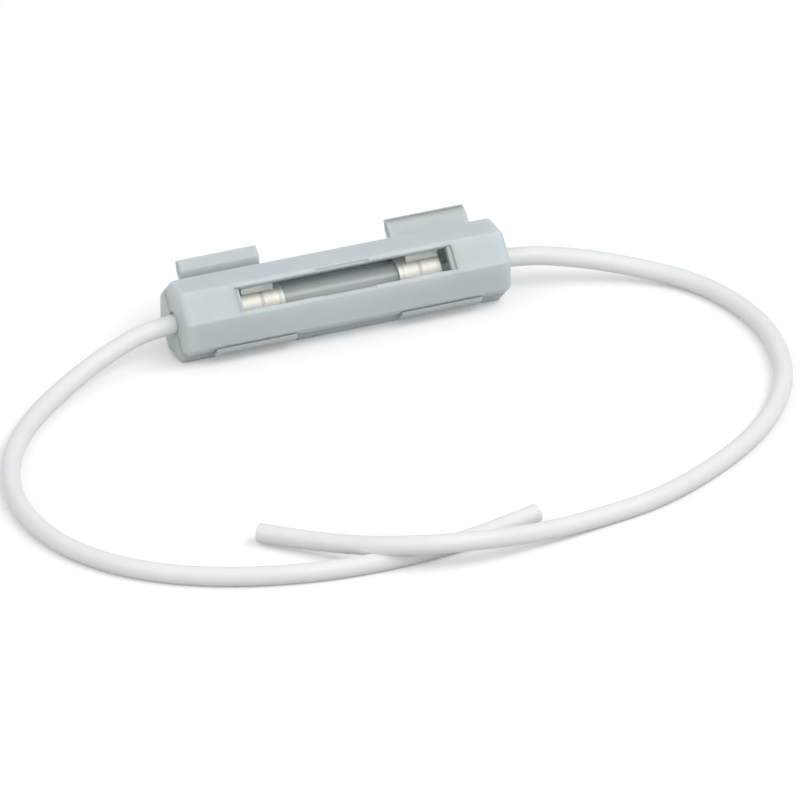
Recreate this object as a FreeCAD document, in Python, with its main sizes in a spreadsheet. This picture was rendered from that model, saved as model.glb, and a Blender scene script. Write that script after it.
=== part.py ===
import FreeCAD, Part
import math
import os
import Sketcher

# In-line fuse holder with a windowed cover, a glass cartridge fuse and two leads.
# Each rigid piece is drawn about the holder's own axis: X along the fuse, Z through the
# window, with the parting plane at Z = 0. The holder lies rolled on one of its sloping
# sides, so every piece is then turned by ROLL about X and lifted to AXIS height.

doc = FreeCAD.newDocument("FuseHolder")
sheet = doc.addObject("Spreadsheet::Sheet", "Dims")

# Driving dimensions in millimetres
driving_sizes = [
    ("end_room", 9.69),
    ("side_room", 0.755),
    ("body_chamfer", 3.07),
    ("edge_round", 0.45),
    ("end_round", 1.0),
    ("wall", 1.2),
    ("end_wall", 1.5),
    ("window_margin", 1.215),
    ("window_width", 3.74),
    ("sill_length", 8.4),
    ("sill_width", 0.4),
    ("sill_depth", 0.35),
    ("fuse_length", 31.75),
    ("cap_length", 6.9),
    ("cap_across", 6.35),
    ("cap_skin", 0.25),
    ("cap_round", 0.35),
    ("cap_groove_width", 0.4),
    ("cap_groove_depth", 0.12),
    ("glass_wall", 0.6),
    ("glass_gap", 0.05),
    ("element_across", 0.3),
    ("sheet_metal", 0.4),
    ("clip_gap", 0.03),
    ("clip_length", 5.0),
    ("clip_setback", 0.4),
    ("clip_mouth", 2.4),
    ("clip_flare", 0.7),
    ("stop_gap", 0.15),
    ("stop_height", 4.6),
    ("stop_width", 3.6),
    ("neck_width", 1.6),
    ("crimp_wall", 0.4),
    ("crimp_gap", 0.05),
    ("crimp_length", 3.2),
    ("strand_across", 1.4),
    ("lead_across", 2.8),
    ("lead_depth", 5.5),
    ("exit_gap", 0.25),
    ("seat_gap", 0.05),
    ("seat_width", 3.0),
    ("rib_inset", 3.9),
    ("rib_thick", 1.0),
    ("rib_gap", 0.1),
    ("hinge_start", 10.25),
    ("hinge_length", 12.3),
    ("hinge_reach", 3.22),
    ("leaf_thick", 0.9),
    ("leaf_slope", 1.1),
    ("valley_width", 0.68),
    ("ramp_width", 0.85),
    ("film_across", 0.5),
    ("film_gap", 0.06),
    ("catch_start", 8.3),
    ("catch_length", 12.5),
    ("catch_gap", 0.08),
    ("catch_thick", 0.54),
    ("catch_rise", 1.77),
    ("catch_lip", 0.1),
    ("catch_root", 0.9),
    ("tongue_depth", 1.1),
    ("tongue_thick", 0.5),
    ("tongue_gap", 0.1),
    ("tongue_margin", 1.5),
]
for row, (alias, size) in enumerate(driving_sizes, start=1):
    sheet.set(f"A{row}", alias)
    sheet.set(f"B{row}", str(size))
    sheet.setAlias(f"B{row}", alias)
doc.recompute()

# Lengths that several pieces share, as expressions of the driving dimensions
ROLL = 45.0
CLIP_INNER = "(Dims.cap_across / 2 + Dims.clip_gap)"
CLIP_OUTER = f"({CLIP_INNER} + Dims.sheet_metal)"
ROOM = f"({CLIP_OUTER} + Dims.side_room)"
HALF = f"({ROOM} + Dims.wall)"
FLAT = f"({HALF} - Dims.body_chamfer)"
ROOM_FLAT = f"({FLAT} - Dims.wall * (sqrt(2) - 1))"
END = "(Dims.fuse_length / 2 + Dims.end_room)"
ROOM_LENGTH = f"2 * ({END} - Dims.end_wall)"
WINDOW_END = "(Dims.fuse_length / 2 + Dims.window_margin)"
AXIS = f"({HALF} + {FLAT}) / sqrt(2)"
HINGE = f"({HALF} + Dims.hinge_reach)"
CLIP_START = "(Dims.fuse_length / 2 - Dims.clip_setback - Dims.clip_length)"
STOP_START = "(Dims.fuse_length / 2 + Dims.stop_gap)"
LEAD_START = f"({END} - Dims.lead_depth)"
RIB_START = f"({END} - Dims.rib_inset)"
CRIMP_START = f"({LEAD_START} - Dims.crimp_length)"
EXIT_RADIUS = "(Dims.lead_across / 2 + Dims.exit_gap)"

rigid_parts = []


def size_of(expression):
    return float(sheet.evalExpression(expression))


def new_body(label):
    body = doc.addObject("PartDesign::Body", label)
    body.Label = label
    rigid_parts.append(body)
    return body


def new_sketch(body, name, role, offset="0"):
    """A sketch on one of the body's own planes, moved along that plane's normal."""
    sketch = body.newObject("Sketcher::SketchObject", name)
    plane = [feature for feature in body.Origin.OriginFeatures if feature.Role == role][0]
    sketch.AttachmentSupport = [(plane, "")]
    sketch.MapMode = "FlatFace"
    sketch.setExpression("AttachmentOffset.Base.z", offset)
    return sketch


def tie_point(sketch, edge, end, across, up):
    """Hold one end of a sketch edge at two signed distances from the sketch's origin."""
    for kind, expression in (("DistanceX", across), ("DistanceY", up)):
        number = sketch.addConstraint(Sketcher.Constraint(kind, -1, 1, edge, end, size_of(expression)))
        sketch.setExpression(f"Constraints[{number}]", expression)


def draw_outline(sketch, corners):
    """A closed run of straight edges through corners given as pairs of expressions."""
    spots = [FreeCAD.Vector(size_of(across), size_of(up), 0) for across, up in corners]
    first = sketch.GeometryCount
    count = len(spots)
    for i in range(count):
        sketch.addGeometry(Part.LineSegment(spots[i], spots[(i + 1) % count]), False)
    for i in range(count):
        follower = first + (i + 1) % count
        sketch.addConstraint(Sketcher.Constraint("Coincident", first + i, 2, follower, 1))
    for i, (across, up) in enumerate(corners):
        tie_point(sketch, first + i, 1, across, up)


def draw_circle(sketch, radius, across="0", up="0"):
    centre = FreeCAD.Vector(size_of(across), size_of(up), 0)
    circle = Part.Circle(centre, FreeCAD.Vector(0, 0, 1), size_of(radius))
    edge = sketch.addGeometry(circle, False)
    tie_point(sketch, edge, 3, across, up)
    number = sketch.addConstraint(Sketcher.Constraint("Radius", edge, size_of(radius)))
    sketch.setExpression(f"Constraints[{number}]", radius)


def both_ways(body, sketch, kind, length):
    """Pad or pocket a cross-section equally to both sides of its plane."""
    feature = body.newObject(f"PartDesign::{kind}", f"{sketch.Name}_{kind}")
    feature.Profile = sketch
    feature.SideType = "Symmetric"
    feature.setExpression("Length", length)
    doc.recompute()
    return feature


def along_axis(body, name, side, start, length, draw, kind="Pad"):
    """Pad or pocket a cross-section between two stations, on the side of X that side names."""
    offset = start if side > 0 else f"-({start} + {length})"
    sketch = new_sketch(body, name, "YZ_Plane", offset)
    draw(sketch)
    feature = body.newObject(f"PartDesign::{kind}", f"{name}_{kind}")
    feature.Profile = sketch
    feature.setExpression("Length", length)
    feature.Reversed = kind == "Pocket"
    doc.recompute()
    return feature


def round_edges(body, name, radius, wanted):
    """Fillet those edges of the body's last feature that wanted() picks."""
    base = body.Tip
    names = [f"Edge{i}" for i, edge in enumerate(base.Shape.Edges, start=1) if wanted(edge)]
    fillet = body.newObject("PartDesign::Fillet", name)
    fillet.Base = (base, names)
    fillet.setExpression("Radius", radius)
    doc.recompute()
    return fillet


def runs_along_x(edge):
    box = edge.BoundBox
    return box.YLength < 0.01 and box.ZLength < 0.01


def off_parting_plane(edge):
    return max(abs(edge.BoundBox.ZMin), abs(edge.BoundBox.ZMax)) > 0.01


def octagon_half(half, flat, up):
    """Half of the eight-sided section, below the parting plane or above it."""
    top = f"{up} * {half}"
    shoulder = f"{up} * {flat}"
    return [
        (f"-{half}", "0"),
        (f"-{half}", shoulder),
        (f"-{flat}", top),
        (flat, top),
        (half, shoulder),
        (half, "0"),
    ]


def make_shell(label, up):
    """One moulded half: an open eight-sided trough with end walls and half exit holes."""
    body = new_body(label)
    outer = new_sketch(body, f"{label}_section", "YZ_Plane")
    draw_outline(outer, octagon_half(HALF, FLAT, up))
    both_ways(body, outer, "Pad", f"2 * {END}")
    round_edges(
        body, f"{label}_long_edges", "Dims.edge_round",
        lambda edge: runs_along_x(edge) and off_parting_plane(edge),
    )
    round_edges(
        body, f"{label}_end_edges", "Dims.end_round",
        lambda edge: edge.BoundBox.XLength < 0.01 and off_parting_plane(edge),
    )
    room = new_sketch(body, f"{label}_room", "YZ_Plane")
    draw_outline(room, octagon_half(ROOM, ROOM_FLAT, up))
    both_ways(body, room, "Pocket", ROOM_LENGTH)
    add_lead_ribs(body, label, up)
    exits = new_sketch(body, f"{label}_exits", "YZ_Plane")
    draw_circle(exits, EXIT_RADIUS)
    both_ways(body, exits, "Pocket", f"2 * {END} + 2 * Dims.end_wall")
    return body


def add_lead_ribs(body, label, up):
    """A rib across each end of the room, notched to the lead by the exit pocket that follows."""
    reach = f"({ROOM} + Dims.wall / 2)"
    inset = f"({ROOM_FLAT} + Dims.wall / 2 * (sqrt(2) - 1))"
    corners = octagon_half(reach, inset, up)
    shy = f"{up} * Dims.rib_gap"
    corners[0] = (corners[0][0], shy)
    corners[-1] = (corners[-1][0], shy)
    for side, word in ((1, "right"), (-1, "left")):
        along_axis(
            body, f"{label}_{word}_rib", side, RIB_START, "Dims.rib_thick",
            lambda sketch: draw_outline(sketch, corners),
        )


# Bottom half, which carries the fuse, the clips and the leads
base_shell = make_shell("base_shell", -1)


def base_leaf(sketch):
    draw_outline(sketch, [
        (f"{HALF} - Dims.wall / 2", "0"),
        (HINGE, "0"),
        (HINGE, "-Dims.film_across / 2"),
        (f"{HINGE} - Dims.leaf_slope", "-Dims.leaf_thick"),
        (f"{HALF} - Dims.wall / 2", "-Dims.leaf_thick"),
    ])


def hinge_film(sketch):
    draw_circle(sketch, "Dims.film_across / 2", HINGE)


def base_catch(sketch):
    """A springy flap that stands up from the bottom half, close outside the cover's wall."""
    inside = f"-({HALF} + Dims.catch_gap)"
    outside = f"-({HALF} + Dims.catch_gap + Dims.catch_thick)"
    draw_outline(sketch, [
        (f"-({HALF} - Dims.wall / 2)", "0"),
        (inside, "0"),
        (inside, "Dims.catch_rise"),
        (f"{outside} + Dims.catch_thick / 2", "Dims.catch_rise"),
        (outside, "Dims.catch_rise - Dims.catch_thick / 2"),
        (outside, "-Dims.catch_lip"),
        (f"-{HALF}", "-Dims.catch_root"),
        (f"-({HALF} - Dims.wall / 2)", "-Dims.catch_root"),
    ])


def clip_seat(sketch):
    draw_outline(sketch, [
        ("-Dims.seat_width / 2", f"-({CLIP_OUTER} + Dims.seat_gap)"),
        ("-Dims.seat_width / 2", f"-({ROOM} + Dims.wall / 2)"),
        ("Dims.seat_width / 2", f"-({ROOM} + Dims.wall / 2)"),
        ("Dims.seat_width / 2", f"-({CLIP_OUTER} + Dims.seat_gap)"),
    ])


for side, word in ((1, "right"), (-1, "left")):
    along_axis(base_shell, f"base_{word}_leaf", side, "Dims.hinge_start", "Dims.hinge_length", base_leaf)
    along_axis(base_shell, f"{word}_film", side, "Dims.hinge_start", "Dims.hinge_length", hinge_film)
    along_axis(base_shell, f"base_{word}_catch", side, "Dims.catch_start", "Dims.catch_length", base_catch)
    along_axis(base_shell, f"{word}_seat", side, CLIP_START, "Dims.clip_length", clip_seat)

# Top half, with the window, which swings about the film hinges
cover_shell = make_shell("cover_shell", 1)

window = new_sketch(cover_shell, "window", "XY_Plane")
draw_outline(window, [
    (f"-{WINDOW_END}", "-Dims.window_width / 2"),
    (WINDOW_END, "-Dims.window_width / 2"),
    (WINDOW_END, "Dims.window_width / 2"),
    (f"-{WINDOW_END}", "Dims.window_width / 2"),
])
window_cut = cover_shell.newObject("PartDesign::Pocket", "window_cut")
window_cut.Profile = window
window_cut.Reversed = True
window_cut.setExpression("Length", HALF)
doc.recompute()

# Shallow steps in the middle of the window's two long edges
sill = new_sketch(cover_shell, "sill", "XY_Plane", f"{HALF} - Dims.sill_depth")
draw_outline(sill, [
    ("-Dims.sill_length / 2", "-(Dims.window_width / 2 + Dims.sill_width)"),
    ("Dims.sill_length / 2", "-(Dims.window_width / 2 + Dims.sill_width)"),
    ("Dims.sill_length / 2", "Dims.window_width / 2 + Dims.sill_width"),
    ("-Dims.sill_length / 2", "Dims.window_width / 2 + Dims.sill_width"),
])
sill_cut = cover_shell.newObject("PartDesign::Pocket", "sill_cut")
sill_cut.Profile = sill
sill_cut.Reversed = True
sill_cut.setExpression("Length", HALF)
doc.recompute()

FILM_ROOM = "(Dims.film_across / 2 + Dims.film_gap)"


def cover_leaf_right(sketch):
    """A flat leaf that bends down at its outer edge, stepped clear of the film."""
    draw_outline(sketch, [
        (f"{HALF} - Dims.wall / 2", "0"),
        (f"{HINGE} - {FILM_ROOM}", "0"),
        (f"{HINGE} - {FILM_ROOM}", FILM_ROOM),
        (HINGE, FILM_ROOM),
        (f"{HINGE} - Dims.leaf_slope", "Dims.leaf_thick"),
        (f"{HALF} - Dims.wall / 2", "Dims.leaf_thick"),
    ])


def cover_leaf_left(sketch):
    """A leaf with a valley beside the housing and a ramp up to its flat outer band."""
    valley = f"{HALF} + Dims.valley_width"
    draw_outline(sketch, [
        (f"{HALF} - Dims.wall / 2", "0"),
        (f"{HINGE} - {FILM_ROOM}", "0"),
        (f"{HINGE} - {FILM_ROOM}", FILM_ROOM),
        (HINGE, FILM_ROOM),
        (HINGE, "Dims.leaf_thick"),
        (f"{valley} + Dims.ramp_width", "Dims.leaf_thick"),
        (valley, "Dims.leaf_thick / 3"),
        (f"{HALF} - Dims.wall / 2", "Dims.leaf_thick / 3"),
    ])


def cover_tongue(sketch):
    outside = f"({ROOM} - Dims.tongue_gap)"
    draw_outline(sketch, [
        (f"-({ROOM} + Dims.wall / 2)", "Dims.tongue_gap"),
        (f"-{outside}", "Dims.tongue_gap"),
        (f"-{outside}", "-Dims.tongue_depth"),
        (f"-({outside} - Dims.tongue_thick)", "-Dims.tongue_depth"),
        (f"-({outside} - Dims.tongue_thick)", "Dims.tongue_depth"),
        (f"-({ROOM} + Dims.wall / 2)", "Dims.tongue_depth"),
    ])


along_axis(cover_shell, "cover_right_leaf", 1, "Dims.hinge_start", "Dims.hinge_length", cover_leaf_right)
along_axis(cover_shell, "cover_left_leaf", -1, "Dims.hinge_start", "Dims.hinge_length", cover_leaf_left)
for side, word in ((1, "right"), (-1, "left")):
    along_axis(
        cover_shell, f"{word}_tongue", side, "Dims.catch_start + Dims.tongue_margin",
        "Dims.catch_length - 2 * Dims.tongue_margin", cover_tongue,
    )


def make_cap(label, side):
    """A drawn metal cup over the end of the glass, with a ring rolled into its middle."""
    body = new_body(label)
    skirt = "Dims.cap_across / 2"
    bore = "(Dims.cap_across / 2 - Dims.cap_skin)"
    groove = "(Dims.cap_across / 2 - Dims.cap_groove_depth)"
    tip = "Dims.fuse_length / 2"
    rim = "(Dims.fuse_length / 2 - Dims.cap_length)"
    middle = "(Dims.fuse_length / 2 - Dims.cap_length / 2)"
    corners = [
        (rim, bore),
        (rim, skirt),
        (f"{middle} - Dims.cap_groove_width / 2", skirt),
        (middle, groove),
        (f"{middle} + Dims.cap_groove_width / 2", skirt),
        (f"{tip} - Dims.cap_round", skirt),
        (tip, f"{skirt} - Dims.cap_round"),
        (tip, "0"),
        (f"{tip} - Dims.cap_skin", "0"),
        (f"{tip} - Dims.cap_skin", bore),
    ]
    profile = new_sketch(body, f"{label}_profile", "XZ_Plane")
    draw_outline(profile, [(f"{side} * ({across})", up) for across, up in corners])
    cup = body.newObject("PartDesign::Revolution", f"{label}_cup")
    cup.Profile = profile
    cup.ReferenceAxis = (profile, ["H_Axis"])
    cup.Angle = 360
    doc.recompute()
    return body


make_cap("fuse_cap_left", -1)
make_cap("fuse_cap_right", 1)

# Glass tube of the fuse, pushed into both caps
fuse_glass = new_body("fuse_glass")
glass_ring = new_sketch(fuse_glass, "glass_ring", "YZ_Plane")
GLASS_RADIUS = "(Dims.cap_across / 2 - Dims.cap_skin - Dims.glass_gap)"
draw_circle(glass_ring, GLASS_RADIUS)
draw_circle(glass_ring, f"{GLASS_RADIUS} - Dims.glass_wall")
both_ways(fuse_glass, glass_ring, "Pad", "Dims.fuse_length - 2 * (Dims.cap_skin + Dims.glass_gap)")

# Fuse element, a fine straight wire from cap to cap
fuse_element = new_body("fuse_element")
element_section = new_sketch(fuse_element, "element_section", "YZ_Plane")
draw_circle(element_section, "Dims.element_across / 2")
both_ways(fuse_element, element_section, "Pad", "Dims.fuse_length - 2 * Dims.cap_skin")


def make_contact(label, side):
    """A pressed clip round the cap, a stop behind it and a barrel crimped on the strands."""
    body = new_body(label)

    def ring(sketch):
        draw_circle(sketch, CLIP_OUTER)
        draw_circle(sketch, CLIP_INNER)

    def mouth(sketch):
        draw_outline(sketch, [
            ("-Dims.clip_mouth / 2", "0"),
            ("Dims.clip_mouth / 2", "0"),
            ("Dims.clip_mouth / 2", "Dims.cap_across"),
            ("-Dims.clip_mouth / 2", "Dims.cap_across"),
        ])

    def stop(sketch):
        draw_outline(sketch, [
            ("-Dims.stop_width / 2", f"-{CLIP_OUTER}"),
            ("Dims.stop_width / 2", f"-{CLIP_OUTER}"),
            ("Dims.stop_width / 2", f"-{CLIP_OUTER} + Dims.stop_height"),
            ("-Dims.stop_width / 2", f"-{CLIP_OUTER} + Dims.stop_height"),
        ])

    def foot(sketch):
        draw_outline(sketch, [
            ("-Dims.neck_width / 2", f"-{CLIP_OUTER}"),
            ("Dims.neck_width / 2", f"-{CLIP_OUTER}"),
            ("Dims.neck_width / 2", f"-{CLIP_OUTER} + Dims.sheet_metal"),
            ("-Dims.neck_width / 2", f"-{CLIP_OUTER} + Dims.sheet_metal"),
        ])

    def barrel(sketch):
        draw_circle(sketch, "Dims.strand_across / 2 + Dims.crimp_gap + Dims.crimp_wall")
        draw_circle(sketch, "Dims.strand_across / 2 + Dims.crimp_gap")

    along_axis(body, f"{label}_ring", side, CLIP_START, "Dims.clip_length", ring)
    along_axis(body, f"{label}_mouth", side, CLIP_START, "Dims.clip_length", mouth, "Pocket")
    for hand, word in ((1, "back"), (-1, "front")):
        add_lip(body, f"{label}_{word}_lip", side, hand)
    along_axis(body, f"{label}_foot", side, f"{CLIP_START}", f"({STOP_START} - {CLIP_START})", foot)
    along_axis(body, f"{label}_stop", side, STOP_START, "Dims.sheet_metal", stop)
    along_axis(
        body, f"{label}_barrel", side, f"({STOP_START} + Dims.sheet_metal)",
        f"({LEAD_START} - {STOP_START} - Dims.sheet_metal)", barrel,
    )
    return body


def add_lip(body, name, side, hand):
    """The flared edge that guides the fuse between the jaws of the clip."""
    root = "(Dims.clip_mouth / 2)"
    inner_up = f"sqrt(({CLIP_INNER}) ^ 2 - (Dims.clip_mouth / 2) ^ 2)"
    outer_up = f"sqrt(({CLIP_OUTER}) ^ 2 - (Dims.clip_mouth / 2) ^ 2)"
    corners = [
        (root, inner_up),
        (f"({root} + Dims.clip_flare)", f"({inner_up} + Dims.clip_flare)"),
        (f"({root} + Dims.clip_flare + Dims.sheet_metal)", f"({inner_up} + Dims.clip_flare)"),
        (f"({root} + Dims.sheet_metal * 1.5)", f"({outer_up} - Dims.sheet_metal / 2)"),
        (f"({root} + Dims.sheet_metal)", f"({inner_up} - Dims.sheet_metal / 8)"),
    ]

    def lip(sketch):
        draw_outline(sketch, [(f"{hand} * {across}", up) for across, up in corners])

    along_axis(body, name, side, CLIP_START, "Dims.clip_length", lip)


make_contact("contact_left", -1)
make_contact("contact_right", 1)


def make_strands(label, side):
    """The bared end of a lead, inside the barrel."""
    body = new_body(label)
    along_axis(
        body, f"{label}_section", side, CRIMP_START, "Dims.crimp_length",
        lambda sketch: draw_circle(sketch, "Dims.strand_across / 2"),
    )
    return body


make_strands("strands_left", -1)
make_strands("strands_right", 1)

# Every rigid piece takes the pose in which the holder lies on its sloping side
for body in rigid_parts:
    body.Placement = FreeCAD.Placement(
        FreeCAD.Vector(0, 0, size_of(AXIS)), FreeCAD.Rotation(FreeCAD.Vector(1, 0, 0), ROLL)
    )
    body.setExpression("Placement.Base.z", AXIS)
doc.recompute()

axis_height = size_of(AXIS)
lead_start = size_of(LEAD_START)
lead_radius = size_of("Dims.lead_across / 2")
TURN_SHARE = 0.45


def route_path(points):
    """Straight runs joined by tangent arcs, each as large as the shorter of its two runs allows."""
    edges = []
    radii = []
    here = points[0]
    for before, corner, after in zip(points, points[1:], points[2:]):
        incoming = corner - before
        outgoing = after - corner
        reach = TURN_SHARE * min(incoming.Length, outgoing.Length)
        radii.append(reach / math.tan(incoming.getAngle(outgoing) / 2))
        enter = corner - incoming.normalize() * reach
        leave = corner + outgoing.normalize() * reach
        bulge = (enter + leave) * 0.5 - corner
        middle = corner + bulge.normalize() * (math.hypot(radii[-1], reach) - radii[-1])
        edges.append(Part.LineSegment(here, enter).toShape())
        edges.append(Part.Arc(enter, middle, leave).toShape())
        here = leave
    edges.append(Part.LineSegment(here, points[-1]).toShape())
    return Part.Wire(edges), radii


def make_lead(label, points):
    """A round insulated lead along a route, from the clip's barrel to its cut end."""
    path, radii = route_path(points)
    along = points[1] - points[0]
    section = Part.Wire([Part.Circle(points[0], along, lead_radius).toShape()])
    tube = path.makePipeShell([section], True, False)
    expected = math.pi * lead_radius ** 2 * path.Length
    print(label, "length", round(path.Length, 1), "radii", [round(radius, 1) for radius in radii])
    print(label, "volume share", round(tube.Volume / expected, 4))
    lead = doc.addObject("Part::Feature", label)
    lead.Label = label
    lead.Shape = tube
    lead.Placement = FreeCAD.Placement()
    return lead


# Left lead: out of the left end, round to the front and along the front to its cut end
left_route = [
    FreeCAD.Vector(-lead_start, 0, axis_height),
    FreeCAD.Vector(-28.4, 0, axis_height),
    FreeCAD.Vector(-36.8, -2.2, 4.1),
    FreeCAD.Vector(-44.2, -5.3, 2.25),
    FreeCAD.Vector(-52.0, -11.1, 1.5),
    FreeCAD.Vector(-58.7, -19.4, 1.41),
    FreeCAD.Vector(-63.0, -28.7, lead_radius),
    FreeCAD.Vector(-64.5, -38.3, lead_radius),
    FreeCAD.Vector(-63.4, -47.2, lead_radius),
    FreeCAD.Vector(-59.8, -54.8, lead_radius),
    FreeCAD.Vector(-53.8, -61.3, lead_radius),
    FreeCAD.Vector(-45.2, -66.4, lead_radius),
    FreeCAD.Vector(-34.4, -69.8, lead_radius),
    FreeCAD.Vector(-23.0, -71.0, lead_radius),
    FreeCAD.Vector(-11.8, -70.1, lead_radius),
    FreeCAD.Vector(-3.6, -68.3, lead_radius),
    FreeCAD.Vector(3.6, -66.0, lead_radius),
]

# Right lead: the mirror of that, over the left lead in a low hump
right_route = [
    FreeCAD.Vector(lead_start, 0, axis_height),
    FreeCAD.Vector(28.4, 0, axis_height),
    FreeCAD.Vector(37.2, -1.8, 4.3),
    FreeCAD.Vector(45.1, -4.3, 2.4),
    FreeCAD.Vector(51.8, -9.5, 1.55),
    FreeCAD.Vector(55.4, -18.4, 1.42),
    FreeCAD.Vector(56.4, -28.3, lead_radius),
    FreeCAD.Vector(54.2, -39.2, lead_radius),
    FreeCAD.Vector(49.4, -48.4, lead_radius),
    FreeCAD.Vector(42.0, -56.7, lead_radius),
    FreeCAD.Vector(32.4, -63.5, 1.41),
    FreeCAD.Vector(21.6, -68.9, 1.42),
    FreeCAD.Vector(10.9, -72.2, 1.75),
    FreeCAD.Vector(0.2, -74.6, 4.0),
    FreeCAD.Vector(-8.8, -75.4, 6.4),
    FreeCAD.Vector(-16.6, -73.9, 7.3),
    FreeCAD.Vector(-25.5, -69.0, 7.3),
    FreeCAD.Vector(-31.5, -62.9, 4.4),
    FreeCAD.Vector(-36.3, -56.4, lead_radius),
]
leads = [make_lead("lead_left", left_route), make_lead("lead_right", right_route)]

doc.recompute()
for item in doc.Objects:
    if "Invalid" in item.State or "Error" in item.State:
        raise RuntimeError(f"{item.Name} failed: {item.State}")
os.makedirs("parts", exist_ok=True)
for item in rigid_parts + leads:
    if item.Shape.isNull() or not item.Shape.isValid() or not item.Shape.Solids:
        raise RuntimeError(f"{item.Label} has no valid solid")
    item.Shape.exportStep(f"parts/{item.Label}.step")
    box = item.Shape.BoundBox
    print(
        item.Label, "volume", round(item.Shape.Volume, 2), "solids", len(item.Shape.Solids),
        "x", round(box.XMin, 2), round(box.XMax, 2), "y", round(box.YMin, 2), round(box.YMax, 2),
        "z", round(box.ZMin, 2), round(box.ZMax, 2),
    )
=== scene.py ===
import math

import bmesh
import bpy
import numpy as np
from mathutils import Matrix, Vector


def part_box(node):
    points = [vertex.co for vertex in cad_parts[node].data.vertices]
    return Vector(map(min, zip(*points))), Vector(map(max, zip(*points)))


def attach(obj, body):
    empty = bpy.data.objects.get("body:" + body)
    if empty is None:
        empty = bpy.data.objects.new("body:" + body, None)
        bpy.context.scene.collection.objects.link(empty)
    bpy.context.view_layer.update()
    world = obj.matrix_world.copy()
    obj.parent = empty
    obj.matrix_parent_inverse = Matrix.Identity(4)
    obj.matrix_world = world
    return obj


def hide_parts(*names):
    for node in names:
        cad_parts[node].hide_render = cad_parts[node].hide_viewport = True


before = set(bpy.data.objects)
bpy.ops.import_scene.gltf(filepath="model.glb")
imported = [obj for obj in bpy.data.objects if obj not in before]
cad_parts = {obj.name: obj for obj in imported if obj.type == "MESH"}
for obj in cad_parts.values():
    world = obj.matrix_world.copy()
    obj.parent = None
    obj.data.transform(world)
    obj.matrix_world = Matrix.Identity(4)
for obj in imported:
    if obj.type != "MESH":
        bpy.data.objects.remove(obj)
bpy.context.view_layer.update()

mm = 0.001
roll = math.radians(45)  # the holder lies on a sloping side, so its window looks up and forward
fuseLow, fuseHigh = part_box("fuse_element")
axisHeight = (fuseLow.z + fuseHigh.z) / 2
capLow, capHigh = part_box("fuse_cap_right")
capRadius = (capHigh.y - capLow.y) / 2
capRim = capLow.x
fuseEnd = capHigh.x
glassLow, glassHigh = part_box("fuse_glass")


def placed(along, across, up):
    # from the holder's own directions (along the fuse, to the hinge side, through the window) to
    # the frame's: turned by roll about X, then lifted to the fuse's axis
    y = across * math.cos(roll) - up * math.sin(roll)
    z = across * math.sin(roll) + up * math.cos(roll) + axisHeight
    return np.stack([along, y, z], axis=-1)


# camera, at the photo's angle and through a long lens
cameraSet = {
    "turn": math.radians(22.93),  # how far the view is turned to the right, about Z
    "elevation": math.radians(28.46),
    "distance": 4.0,
    "width": 116.28 * mm,  # what the picture spans at the holder
    "shiftRight": 9.34 * mm,  # from the fuse's middle to the middle of the picture
    "shiftDown": 15.94 * mm,
    "nearest": 0.1,
    "farthest": 50,
}


def makeCamera(s):
    turn, elevation = s["turn"], s["elevation"]
    level = math.cos(elevation)
    forward = Vector((math.sin(turn) * level, math.cos(turn) * level, -math.sin(elevation)))
    right = Vector((math.cos(turn), -math.sin(turn), 0))
    up = right.cross(forward)
    target = Vector((0, 0, axisHeight)) + right * s["shiftRight"] - up * s["shiftDown"]
    data = bpy.data.cameras.new("camera")
    data.lens = data.sensor_width * s["distance"] / s["width"]
    data.clip_start = s["nearest"]
    data.clip_end = s["farthest"]
    camera = bpy.data.objects.new("camera", data)
    bpy.context.scene.collection.objects.link(camera)
    camera.location = target - forward * s["distance"]
    camera.rotation_euler = forward.to_track_quat("-Z", "Y").to_euler()
    bpy.context.scene.camera = camera


makeCamera(cameraSet)
print("camera made")


# materials, whose patterns lie on each piece's own coordinates, in metres
noiseSpan = (0.3, 0.7)  # where most of a noise's values lie
tintSpan = (0.32, 0.68)
grainDepth = 0.02 * mm


def newMaterial(name):
    material = bpy.data.materials.new(name)
    material.use_nodes = True
    tree = material.node_tree
    return material, tree, tree.nodes["Principled BSDF"]


def noise(tree, scale, detail=3, stretch=(1, 1, 1)):
    # a scale is in lumps to the metre, and the pattern is drawn out where stretch is small
    place = tree.nodes.new("ShaderNodeTexCoord")
    mapping = tree.nodes.new("ShaderNodeMapping")
    mapping.inputs["Scale"].default_value = stretch
    texture = tree.nodes.new("ShaderNodeTexNoise")
    texture.inputs["Scale"].default_value = scale
    texture.inputs["Detail"].default_value = detail
    tree.links.new(place.outputs["Object"], mapping.inputs["Vector"])
    tree.links.new(mapping.outputs["Vector"], texture.inputs["Vector"])
    return texture.outputs["Fac"]


def tint(tree, shader, pattern, s):
    # the colour follows the pattern from pale to deep
    ramp = tree.nodes.new("ShaderNodeValToRGB")
    first, second = ramp.color_ramp.elements
    first.position, second.position = tintSpan
    first.color = (*s["pale"], 1)
    second.color = (*s["deep"], 1)
    tree.links.new(pattern, ramp.inputs["Fac"])
    tree.links.new(ramp.outputs["Color"], shader.inputs["Base Color"])


def roughen(tree, shader, pattern, s):
    # the roughness follows the pattern from its low to its high value
    spread = tree.nodes.new("ShaderNodeMapRange")
    spread.inputs["From Min"].default_value = noiseSpan[0]
    spread.inputs["From Max"].default_value = noiseSpan[1]
    spread.inputs["To Min"].default_value = s["rough"][0]
    spread.inputs["To Max"].default_value = s["rough"][1]
    tree.links.new(pattern, spread.inputs["Value"])
    tree.links.new(spread.outputs["Result"], shader.inputs["Roughness"])


def bump(tree, shader, pattern, s):
    # the pattern stands out of the skin a little
    relief = tree.nodes.new("ShaderNodeBump")
    relief.inputs["Strength"].default_value = s["relief"]
    relief.inputs["Distance"].default_value = grainDepth
    tree.links.new(pattern, relief.inputs["Height"])
    tree.links.new(relief.outputs["Normal"], shader.inputs["Normal"])
    return relief


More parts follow.
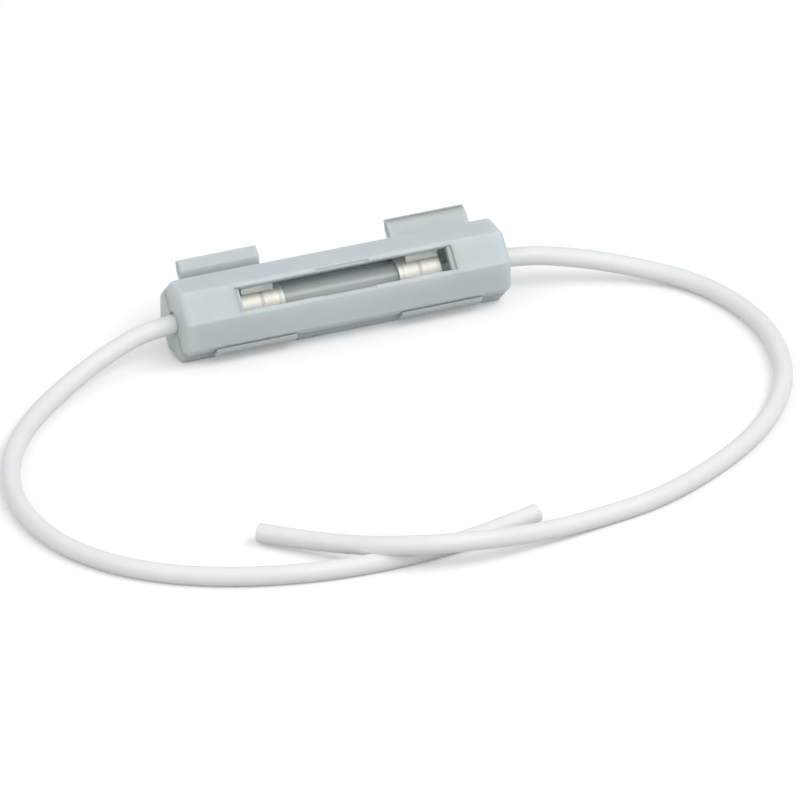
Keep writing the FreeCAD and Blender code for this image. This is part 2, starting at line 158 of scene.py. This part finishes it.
def softCorners(tree, relief, radius):
    # shades each corner as if it were rounded, the way a moulded one is
    soft = tree.nodes.new("ShaderNodeBevel")
    soft.samples = 8
    soft.inputs["Radius"].default_value = radius
    tree.links.new(soft.outputs["Normal"], relief.inputs["Normal"])


def letThrough(shader, s):
    # some of the light, its glow, goes into the plastic and spreads there
    shader.inputs["Subsurface Weight"].default_value = s["glow"]
    shader.inputs["Subsurface Radius"].default_value = (s["depth"],) * 3


shellFinish = {
    "pale": (0.592, 0.664, 0.678),
    "deep": (0.564, 0.637, 0.652),
    "tones": 120,
    "rough": (0.36, 0.46),
    "wear": 500,
    "grain": 9000,
    "relief": 0.12,
    "shine": 0.45,
    "corner": 0.15 * mm,
    "glow": 0.7,
    "depth": 4 * mm,
}


def makeShellPlastic(s):
    # pale grey moulded plastic with a satin skin and slow changes in tone
    material, tree, shader = newMaterial("shellPlastic")
    tint(tree, shader, noise(tree, s["tones"]), s)
    roughen(tree, shader, noise(tree, s["wear"]), s)
    relief = bump(tree, shader, noise(tree, s["grain"], detail=2), s)
    softCorners(tree, relief, s["corner"])
    letThrough(shader, s)
    shader.inputs["Subsurface Scale"].default_value = 1
    shader.inputs["Specular IOR Level"].default_value = s["shine"]
    return material


leadFinish = {
    "pale": (0.872, 0.9, 0.897),
    "deep": (0.846, 0.875, 0.871),
    "tones": 90,
    "rough": (0.38, 0.5),
    "wear": 700,
    "grain": 5000,
    "relief": 0.1,
    "glow": 0.08,
    "depth": 0.8 * mm,
}


def makeLeadPlastic(s):
    # soft white insulation, a little uneven from the extruder
    material, tree, shader = newMaterial("leadPlastic")
    tint(tree, shader, noise(tree, s["tones"]), s)
    roughen(tree, shader, noise(tree, s["wear"]), s)
    bump(tree, shader, noise(tree, s["grain"], detail=2), s)
    letThrough(shader, s)
    return material


capFinish = {
    "pale": (0.7, 0.69, 0.65),
    "deep": (0.63, 0.62, 0.58),
    "tones": 260,
    "rough": (0.5, 0.6),
    "marks": 700,
    "markStretch": (6, 1, 1),
    "relief": 0.05,
}


def makeCapMetal(s):
    # nickel plate, drawn round the cap, so its fine marks run round the axis
    material, tree, shader = newMaterial("capMetal")
    marks = noise(tree, s["marks"], detail=4, stretch=s["markStretch"])
    tint(tree, shader, noise(tree, s["tones"]), s)
    roughen(tree, shader, marks, s)
    bump(tree, shader, marks, s)
    shader.inputs["Metallic"].default_value = 1
    return material


clipFinish = {
    "pale": (0.9, 0.9, 0.88),
    "deep": (0.8, 0.79, 0.77),
    "tones": 300,
    "rough": (0.34, 0.46),
    "marks": 500,
    "markStretch": (1, 8, 8),
    "relief": 0.12,
}


def makeClipMetal(s):
    # tinned spring sheet, rolled along its length
    material, tree, shader = newMaterial("clipMetal")
    marks = noise(tree, s["marks"], detail=4, stretch=s["markStretch"])
    tint(tree, shader, noise(tree, s["tones"]), s)
    roughen(tree, shader, marks, s)
    bump(tree, shader, marks, s)
    shader.inputs["Metallic"].default_value = 1
    return material


glassFinish = {
    "pale": (0.8, 0.85, 0.85),
    "deep": (0.73, 0.79, 0.79),
    "rough": (0.07, 0.14),
    "lines": 900,
    "lineStretch": (0.05, 1, 1),
    "relief": 0.04,
    "cover": 0.36,  # how much the glass hides of what lies behind it
    "index": 1.5,
    "shine": 1.0,
}


def makeFuseGlass(s):
    # clear tube with faint drawing lines along it; light passes straight through its thin wall
    material, tree, shader = newMaterial("fuseGlass")
    lines = noise(tree, s["lines"], detail=2, stretch=s["lineStretch"])
    tint(tree, shader, lines, s)
    roughen(tree, shader, lines, s)
    bump(tree, shader, lines, s)
    shader.inputs["Alpha"].default_value = s["cover"]
    shader.inputs["IOR"].default_value = s["index"]
    shader.inputs["Specular IOR Level"].default_value = s["shine"]
    return material


elementFinish = {
    "pale": (0.72, 0.72, 0.7),
    "deep": (0.6, 0.6, 0.58),
    "rough": (0.2, 0.35),
    "streaks": 2500,
    "streakStretch": (0.1, 1, 1),
}
strandFinish = {
    "pale": (0.86, 0.56, 0.38),
    "deep": (0.72, 0.42, 0.26),
    "rough": (0.25, 0.4),
    "streaks": 2500,
    "streakStretch": (0.1, 1, 1),
}


def makeWireMetal(name, s):
    # bright drawn wire, streaked along the fuse's direction
    material, tree, shader = newMaterial(name)
    streaks = noise(tree, s["streaks"], stretch=s["streakStretch"])
    tint(tree, shader, streaks, s)
    roughen(tree, shader, streaks, s)
    shader.inputs["Metallic"].default_value = 1
    return material


shellPlastic = makeShellPlastic(shellFinish)
leadPlastic = makeLeadPlastic(leadFinish)
capMetal = makeCapMetal(capFinish)
clipMetal = makeClipMetal(clipFinish)
fuseGlass = makeFuseGlass(glassFinish)
elementMetal = makeWireMetal("elementMetal", elementFinish)
strandCopper = makeWireMetal("strandCopper", strandFinish)
print("materials made")


# what every new piece needs
mergeGap = 0.0002 * mm


def closedMesh(name, points, faces, material):
    # a mesh with its doubled corners merged and its faces pointing outwards
    mesh = bpy.data.meshes.new(name)
    mesh.from_pydata(points, [], faces)
    work = bmesh.new()
    work.from_mesh(mesh)
    bmesh.ops.remove_doubles(work, verts=work.verts, dist=mergeGap)
    bmesh.ops.recalc_face_normals(work, faces=work.faces)
    work.to_mesh(mesh)
    work.free()
    mesh.materials.append(material)
    return mesh


def addPiece(name, data, body, nodes=()):
    # a piece goes on its body, in place of the CAD nodes given
    piece = bpy.data.objects.new(name, data)
    bpy.context.scene.collection.objects.link(piece)
    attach(piece, body)
    if nodes:
        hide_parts(*nodes)
    return piece


# leads: one smooth line each, led by the points of its route, with all sizes in millimetres
leadSet = {
    "radius": 1.4,
    "exit": 25.565,  # from the fuse's middle to where a lead leaves the holder
    "left": 151.3,  # lengths from where the insulation starts to the cut end
    "right": 177.1,
    "stepsAlong": 12,
    "stepsAround": 10,
}
lay = leadSet["radius"]  # height of a lead's middle where it lies on the surface
startHeight = axisHeight / mm


def route(points):
    return [Vector(point) * mm for point in points]


leftRoute = route([
    (-20.065, 0, startHeight), (-28.4, 0, startHeight), (-36.8, -2.2, 4.1), (-44.2, -5.3, 2.2),
    (-52.0, -11.1, lay), (-58.7, -19.4, lay), (-63.0, -28.7, lay), (-64.5, -38.3, lay),
    (-63.4, -47.2, lay), (-59.8, -54.8, lay), (-53.8, -61.3, lay), (-45.2, -66.4, lay),
    (-34.4, -69.8, lay), (-23.0, -71.0, lay), (-11.8, -70.1, lay), (-3.6, -68.3, lay), (3.4, -66.1, lay),
])
rightRoute = route([
    (20.065, 0, startHeight), (28.4, 0, startHeight), (37.2, -1.8, 4.3), (45.1, -4.3, 2.4),
    (51.8, -9.5, lay), (55.4, -18.4, lay), (56.4, -28.3, lay), (54.2, -39.2, lay),
    (49.4, -48.4, lay), (42.0, -56.7, lay), (32.4, -63.5, lay), (21.6, -68.9, lay),
    (11.3, -70.9, lay), (1.2, -73.1, 2.2), (-10.8, -75.4, 4.4), (-20.5, -72.3, 4.2),
    (-28.2, -64.2, 2.1), (-35.7, -56.5, 1.7),
])


def makeLead(name, node, points):
    curve = bpy.data.curves.new(name, "CURVE")
    curve.dimensions = "3D"
    spline = curve.splines.new("NURBS")
    spline.points.add(len(points) - 1)
    spline.points.foreach_set("co", np.array([[*point, 1] for point in points], np.float32).ravel())
    spline.order_u = 3
    spline.use_endpoint_u = True
    spline.resolution_u = leadSet["stepsAlong"]
    curve.bevel_depth = leadSet["radius"] * mm
    curve.bevel_resolution = leadSet["stepsAround"]
    curve.use_fill_caps = True
    curve.materials.append(leadPlastic)
    lead = addPiece(name, curve, "base", [node])


makeLead("leadLeft", "lead_left", leftRoute)
makeLead("leadRight", "lead_right", rightRoute)

cutSet = {
    "strand": 0.115 * mm,
    "rings": [(0, 1), (0.25 * mm, 6), (0.5 * mm, 12)],  # each ring's radius and number of strands
    "sides": 12,
    "proud": 0.1 * mm,
    "depth": 0.4 * mm,
}


def makeCutEnd(name, points, s):
    # bare strands in the cut face, each a prism whose ends lie before and behind that face
    # point(k, t) = tip + ring_k (cos turn_k, sin turn_k) + strand (cos t, sin t), across the lead
    tip = points[-1]
    ahead = (points[-1] - points[-2]).normalized()
    across = ahead.cross(Vector((0, 0, 1))).normalized()
    over = ahead.cross(across)
    spots = [(ring, 2 * math.pi * k / count) for ring, count in s["rings"] for k in range(count)]
    ring, turn = np.array(spots).T
    sides = s["sides"]
    t = np.linspace(0, 2 * np.pi, sides, endpoint=False)
    u = (ring * np.cos(turn))[:, None] + s["strand"] * np.cos(t)
    v = (ring * np.sin(turn))[:, None] + s["strand"] * np.sin(t)
    flat = u[..., None] * np.array(across) + v[..., None] * np.array(over) + np.array(tip)
    ends = np.array([-s["depth"], s["proud"]])[None, :, None, None] * np.array(ahead)
    corners = (flat[:, None] + ends).reshape(-1, 3)
    first = np.arange(len(spots))[:, None] * 2 * sides
    last = first + sides
    k = np.arange(sides)
    after = (k + 1) % sides
    walls = np.stack([first + k, first + after, last + after, last + k], axis=-1).reshape(-1, 4)
    tips = np.concatenate([first + k[::-1], last + k])
    mesh = closedMesh(name, corners.tolist(), walls.tolist() + tips.tolist(), strandCopper)
    addPiece(name, mesh, "base")


makeCutEnd("cutEndLeft", leftRoute, cutSet)
makeCutEnd("cutEndRight", rightRoute, cutSet)
print("leads made")


# moulded and pressed pieces: the CAD form, merged flat by flat and shaded smooth round its fillets
dressSet = {
    "merge": 0.001 * mm,
    "flat": math.radians(0.3),  # triangles that lie this flat to each other become one face
    "sharp": math.radians(35),  # past this angle a corner isn't shaded smooth
}
clipSet = {"edge": 0.05 * mm, "steps": 2}  # a small rounding along the sheet's edges


def dressedCopy(name, node, material, body, s):
    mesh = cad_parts[node].data.copy()
    mesh.name = name
    work = bmesh.new()
    work.from_mesh(mesh)
    bmesh.ops.remove_doubles(work, verts=work.verts, dist=s["merge"])
    bmesh.ops.dissolve_limit(work, angle_limit=s["flat"], verts=work.verts, edges=work.edges)
    work.to_mesh(mesh)
    work.free()
    if mesh.has_custom_normals:
        mesh.attributes.remove(mesh.attributes["custom_normal"])
    mesh.shade_smooth()
    mesh.set_sharp_from_angle(angle=s["sharp"])
    mesh.materials.clear()
    mesh.materials.append(material)
    return addPiece(name, mesh, body, [node])


for body in ("base", "cover"):
    shell = dressedCopy(body + "Shell", body + "_shell", shellPlastic, body, dressSet)
    # wide flats stay flat beside small fillets
    weights = shell.modifiers.new("faceWeights", "WEIGHTED_NORMAL")
    weights.keep_sharp = True
for side in ("Left", "Right"):
    node = "contact_" + side.lower()
    clip = dressedCopy("contact" + side, node, clipMetal, "base", dressSet)
    edge = clip.modifiers.new("softEdges", "BEVEL")
    edge.width = clipSet["edge"]
    edge.segments = clipSet["steps"]
    edge.limit_method = "ANGLE"
    edge.angle_limit = dressSet["sharp"]
    edge.harden_normals = True
print("shells and contacts made")

windowSet = {
    "end": 1.215 * mm,  # from the fuse's end to the window's end
    "ledge": 0.7 * mm,
    "halfWidth": 1.87 * mm,
    "low": 4.3 * mm,  # heights above the fuse's axis
    "high": 5.25 * mm,
    "bite": 0.1 * mm,  # how far a ledge goes into the walls round it
}


def makeLedge(name, side, s):
    # a block across one end of the window, from its eight corners in the holder's own directions
    end = fuseEnd + s["end"]
    reach = s["halfWidth"] + s["bite"]
    along = side * np.array([end - s["ledge"], end + s["bite"]])
    along, across, up = np.meshgrid(along, [-reach, reach], [s["low"], s["high"]], indexing="ij")
    corners = placed(along, across, up).reshape(-1, 3)
    faces = [(0, 1, 3, 2), (4, 6, 7, 5), (0, 4, 5, 1), (2, 3, 7, 6), (0, 2, 6, 4), (1, 5, 7, 3)]
    mesh = closedMesh(name, corners.tolist(), faces, shellPlastic)
    addPiece(name, mesh, "cover")


makeLedge("windowLedgeLeft", -1, windowSet)
makeLedge("windowLedgeRight", 1, windowSet)


# turned pieces: a profile of stations and radii carried round the fuse's axis
turnedSharp = math.radians(50)


def turnedPiece(name, node, profile, around, material, closed=False):
    # point(i, t) = (station_i, radius_i cos t, radius_i sin t), with t from 0 to a full turn
    # a closed profile's last ring is joined to its first, and an open one's ends lie on the axis
    stations, radii = profile
    count = len(stations)
    t = np.linspace(0, 2 * np.pi, around, endpoint=False)
    along = np.repeat(stations[:, None], around, axis=1)
    points = placed(along, radii[:, None] * np.cos(t), radii[:, None] * np.sin(t)).reshape(-1, 3)
    rows = np.arange(count if closed else count - 1)
    i, j = np.meshgrid(rows, np.arange(around), indexing="ij")
    here = i * around
    beyond = (i + 1) % count * around
    beside = (j + 1) % around
    quads = np.stack([here + j, here + beside, beyond + beside, beyond + j], axis=-1).reshape(-1, 4)
    mesh = closedMesh(name, points.tolist(), quads.tolist(), material)
    mesh.shade_smooth()
    mesh.set_sharp_from_angle(angle=turnedSharp)
    addPiece(name, mesh, "base", [node])


def roundedCorner(x, r, size, first, last, count):
    # part of a circle about (x, r), from angle first to angle last in degrees
    a = np.radians(np.linspace(first, last, count))
    return x + size * np.cos(a), r + size * np.sin(a)


def groove(x, middle, reach, depth):
    # depth at the middle, falling as the square of a sine to nothing at reach on either side
    near = np.clip(1 - np.abs(x - middle) / reach, 0, 1)
    return depth * np.sin(near * np.pi / 2) ** 2


capSet = {
    "skin": 0.25 * mm,
    "corner": 0.35 * mm,
    "rim": 0.1 * mm,
    "mouth": 0.02 * mm,  # how far in from the rim the bore starts
    "ringDepth": 0.11 * mm,  # groove rolled into the middle
    "ringReach": 0.32 * mm,
    "lineDepth": 0.05 * mm,  # fine groove towards the glass
    "lineReach": 0.22 * mm,
    "lineFrom": 0.75 * mm,
    "tipSteps": 8,
    "wallSteps": 120,
    "rimSteps": 6,
    "around": 96,
}


def capProfile(s):
    # a quarter circle at the tip, a wall with two grooves, a quarter circle at the rim, then the bore
    tipX, tipR = roundedCorner(
        fuseEnd - s["corner"], capRadius - s["corner"], s["corner"], 0, 90, s["tipSteps"])
    wallX = np.linspace(fuseEnd - s["corner"], capRim + s["rim"], s["wallSteps"])[1:-1]
    wallR = (capRadius - groove(wallX, (fuseEnd + capRim) / 2, s["ringReach"], s["ringDepth"])
             - groove(wallX, capRim + s["lineFrom"], s["lineReach"], s["lineDepth"]))
    rimX, rimR = roundedCorner(
        capRim + s["rim"], capRadius - s["rim"], s["rim"], 90, 180, s["rimSteps"])
    bore = capRadius - s["skin"]
    inside = fuseEnd - s["skin"]
    x = np.concatenate([[fuseEnd], tipX, wallX, rimX, [capRim + s["mouth"], inside, inside]])
    r = np.concatenate([[0], tipR, wallR, rimR, [bore, bore, 0]])
    return x, r


capX, capR = capProfile(capSet)
for side, way in (("Right", 1), ("Left", -1)):
    profile = (way * capX, capR)
    node = "fuse_cap_" + side.lower()
    turnedPiece("fuseCap" + side, node, profile, capSet["around"], capMetal)

glassSet = {
    "radius": (glassHigh.y - glassLow.y) / 2,
    "wall": 0.6 * mm,
    "endSteps": 12,
    "wallSteps": 40,
    "around": 96,
}


def glassProfile(s):
    # a tube's wall in section: straight outside and inside, with a half circle at each end
    steps = s["wallSteps"]
    outer = s["radius"]
    inner = outer - s["wall"]
    half = s["wall"] / 2
    straight = glassHigh.x - half
    endX, endR = roundedCorner(0, (outer + inner) / 2, half, 90, -90, s["endSteps"])
    wallX = np.linspace(-straight, straight, steps)
    x = np.concatenate([wallX, straight + endX[1:-1], wallX[::-1], -straight - endX[1:-1]])
    r = np.concatenate([np.full(steps, outer), endR[1:-1], np.full(steps, inner), endR[1:-1][::-1]])
    return x, r


profile = glassProfile(glassSet)
turnedPiece("fuseGlass", "fuse_glass", profile, glassSet["around"], fuseGlass, closed=True)

elementSet = {"radius": (fuseHigh.y - fuseLow.y) / 2, "steps": 60, "around": 16}


def elementProfile(s):
    # a straight wire with flat ends
    x = np.concatenate([[fuseLow.x], np.linspace(fuseLow.x, fuseHigh.x, s["steps"]), [fuseHigh.x]])
    r = np.concatenate([[0], np.full(s["steps"], s["radius"]), [0]])
    return x, r


profile = elementProfile(elementSet)
turnedPiece("fuseElement", "fuse_element", profile, elementSet["around"], elementMetal)
print("fuse made")

# the bared strands in the barrels keep their CAD form
for node in ("strands_left", "strands_right"):
    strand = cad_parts[node]
    strand.data.materials.clear()
    strand.data.materials.append(strandCopper)


# floor and light
studioSet = {
    "floorSize": 6.0,
    "floorColour": (0.9, 0.9, 0.9),
    "bounceColour": (0.58, 0.58, 0.58),  # what lights the object from below, greyer than what is seen
    "floorRough": 0.9,
    "floorLift": 0.19,  # glow that brings the seen floor up to white and leaves it the shadows
    "sky": 0.58,
    "lampAim": (0, -0.02, 0),
}
keyLamp = {"power": 6.5, "size": (1.3, 0.45), "place": (0.38, -0.62, 0.98)}
fillLamp = {"power": 2.4, "size": (0.8, 0.8), "place": (-1.0, -0.35, 0.75)}


def makeFloor(s):
    half = s["floorSize"] / 2
    mesh = bpy.data.meshes.new("floor")
    corners = [(-half, -half, 0), (half, -half, 0), (half, half, 0), (-half, half, 0)]
    mesh.from_pydata(corners, [], [(0, 1, 2, 3)])
    floor = bpy.data.objects.new("floor", mesh)
    bpy.context.scene.collection.objects.link(floor)
    material, tree, shader = newMaterial("paper")
    shader.inputs["Roughness"].default_value = s["floorRough"]
    shader.inputs["Specular IOR Level"].default_value = 0
    # seen is 1 where the camera sees the floor, straight or by way of metal or glass
    path = tree.nodes.new("ShaderNodeLightPath")
    seen = path.outputs["Is Camera Ray"]
    for ray in ("Is Glossy Ray", "Is Transmission Ray"):
        either = tree.nodes.new("ShaderNodeMath")
        either.operation = "MAXIMUM"
        tree.links.new(seen, either.inputs[0])
        tree.links.new(path.outputs[ray], either.inputs[1])
        seen = either.outputs[0]
    lift = tree.nodes.new("ShaderNodeMath")
    lift.operation = "MULTIPLY"
    lift.inputs[1].default_value = s["floorLift"]
    tree.links.new(seen, lift.inputs[0])
    shader.inputs["Emission Color"].default_value = (1, 1, 1, 1)
    tree.links.new(lift.outputs[0], shader.inputs["Emission Strength"])
    tone = tree.nodes.new("ShaderNodeMix")
    tone.data_type = "RGBA"
    tone.inputs[6].default_value = (*s["bounceColour"], 1)  # sockets 6, 7 and 2 are the colours
    tone.inputs[7].default_value = (*s["floorColour"], 1)
    tree.links.new(seen, tone.inputs["Factor"])
    tree.links.new(tone.outputs[2], shader.inputs["Base Color"])
    mesh.materials.append(material)


def makeWorld(s):
    # white to the camera, and greyer for what it lights
    world = bpy.data.worlds.new("studio")
    world.use_nodes = True
    tree = world.node_tree
    sky = tree.nodes["Background"]
    path = tree.nodes.new("ShaderNodeLightPath")
    strength = tree.nodes.new("ShaderNodeMapRange")
    strength.inputs["To Min"].default_value = s["sky"]
    strength.inputs["To Max"].default_value = 1
    sky.inputs["Color"].default_value = (1, 1, 1, 1)
    tree.links.new(path.outputs["Is Camera Ray"], strength.inputs["Value"])
    tree.links.new(strength.outputs["Result"], sky.inputs["Strength"])
    bpy.context.scene.world = world


def makeLamp(name, s, aim):
    data = bpy.data.lights.new(name, "AREA")
    data.shape = "RECTANGLE"
    data.size, data.size_y = s["size"]
    data.energy = s["power"]
    lamp = bpy.data.objects.new(name, data)
    bpy.context.scene.collection.objects.link(lamp)
    lamp.location = s["place"]
    ahead = Vector(aim) - Vector(s["place"])
    lamp.rotation_euler = ahead.to_track_quat("-Z", "Y").to_euler()


makeFloor(studioSet)
makeWorld(studioSet)
makeLamp("keyLamp", keyLamp, studioSet["lampAim"])
makeLamp("fillLamp", fillLamp, studioSet["lampAim"])
bpy.context.scene.view_settings.view_transform = "Standard"
print("studio made")
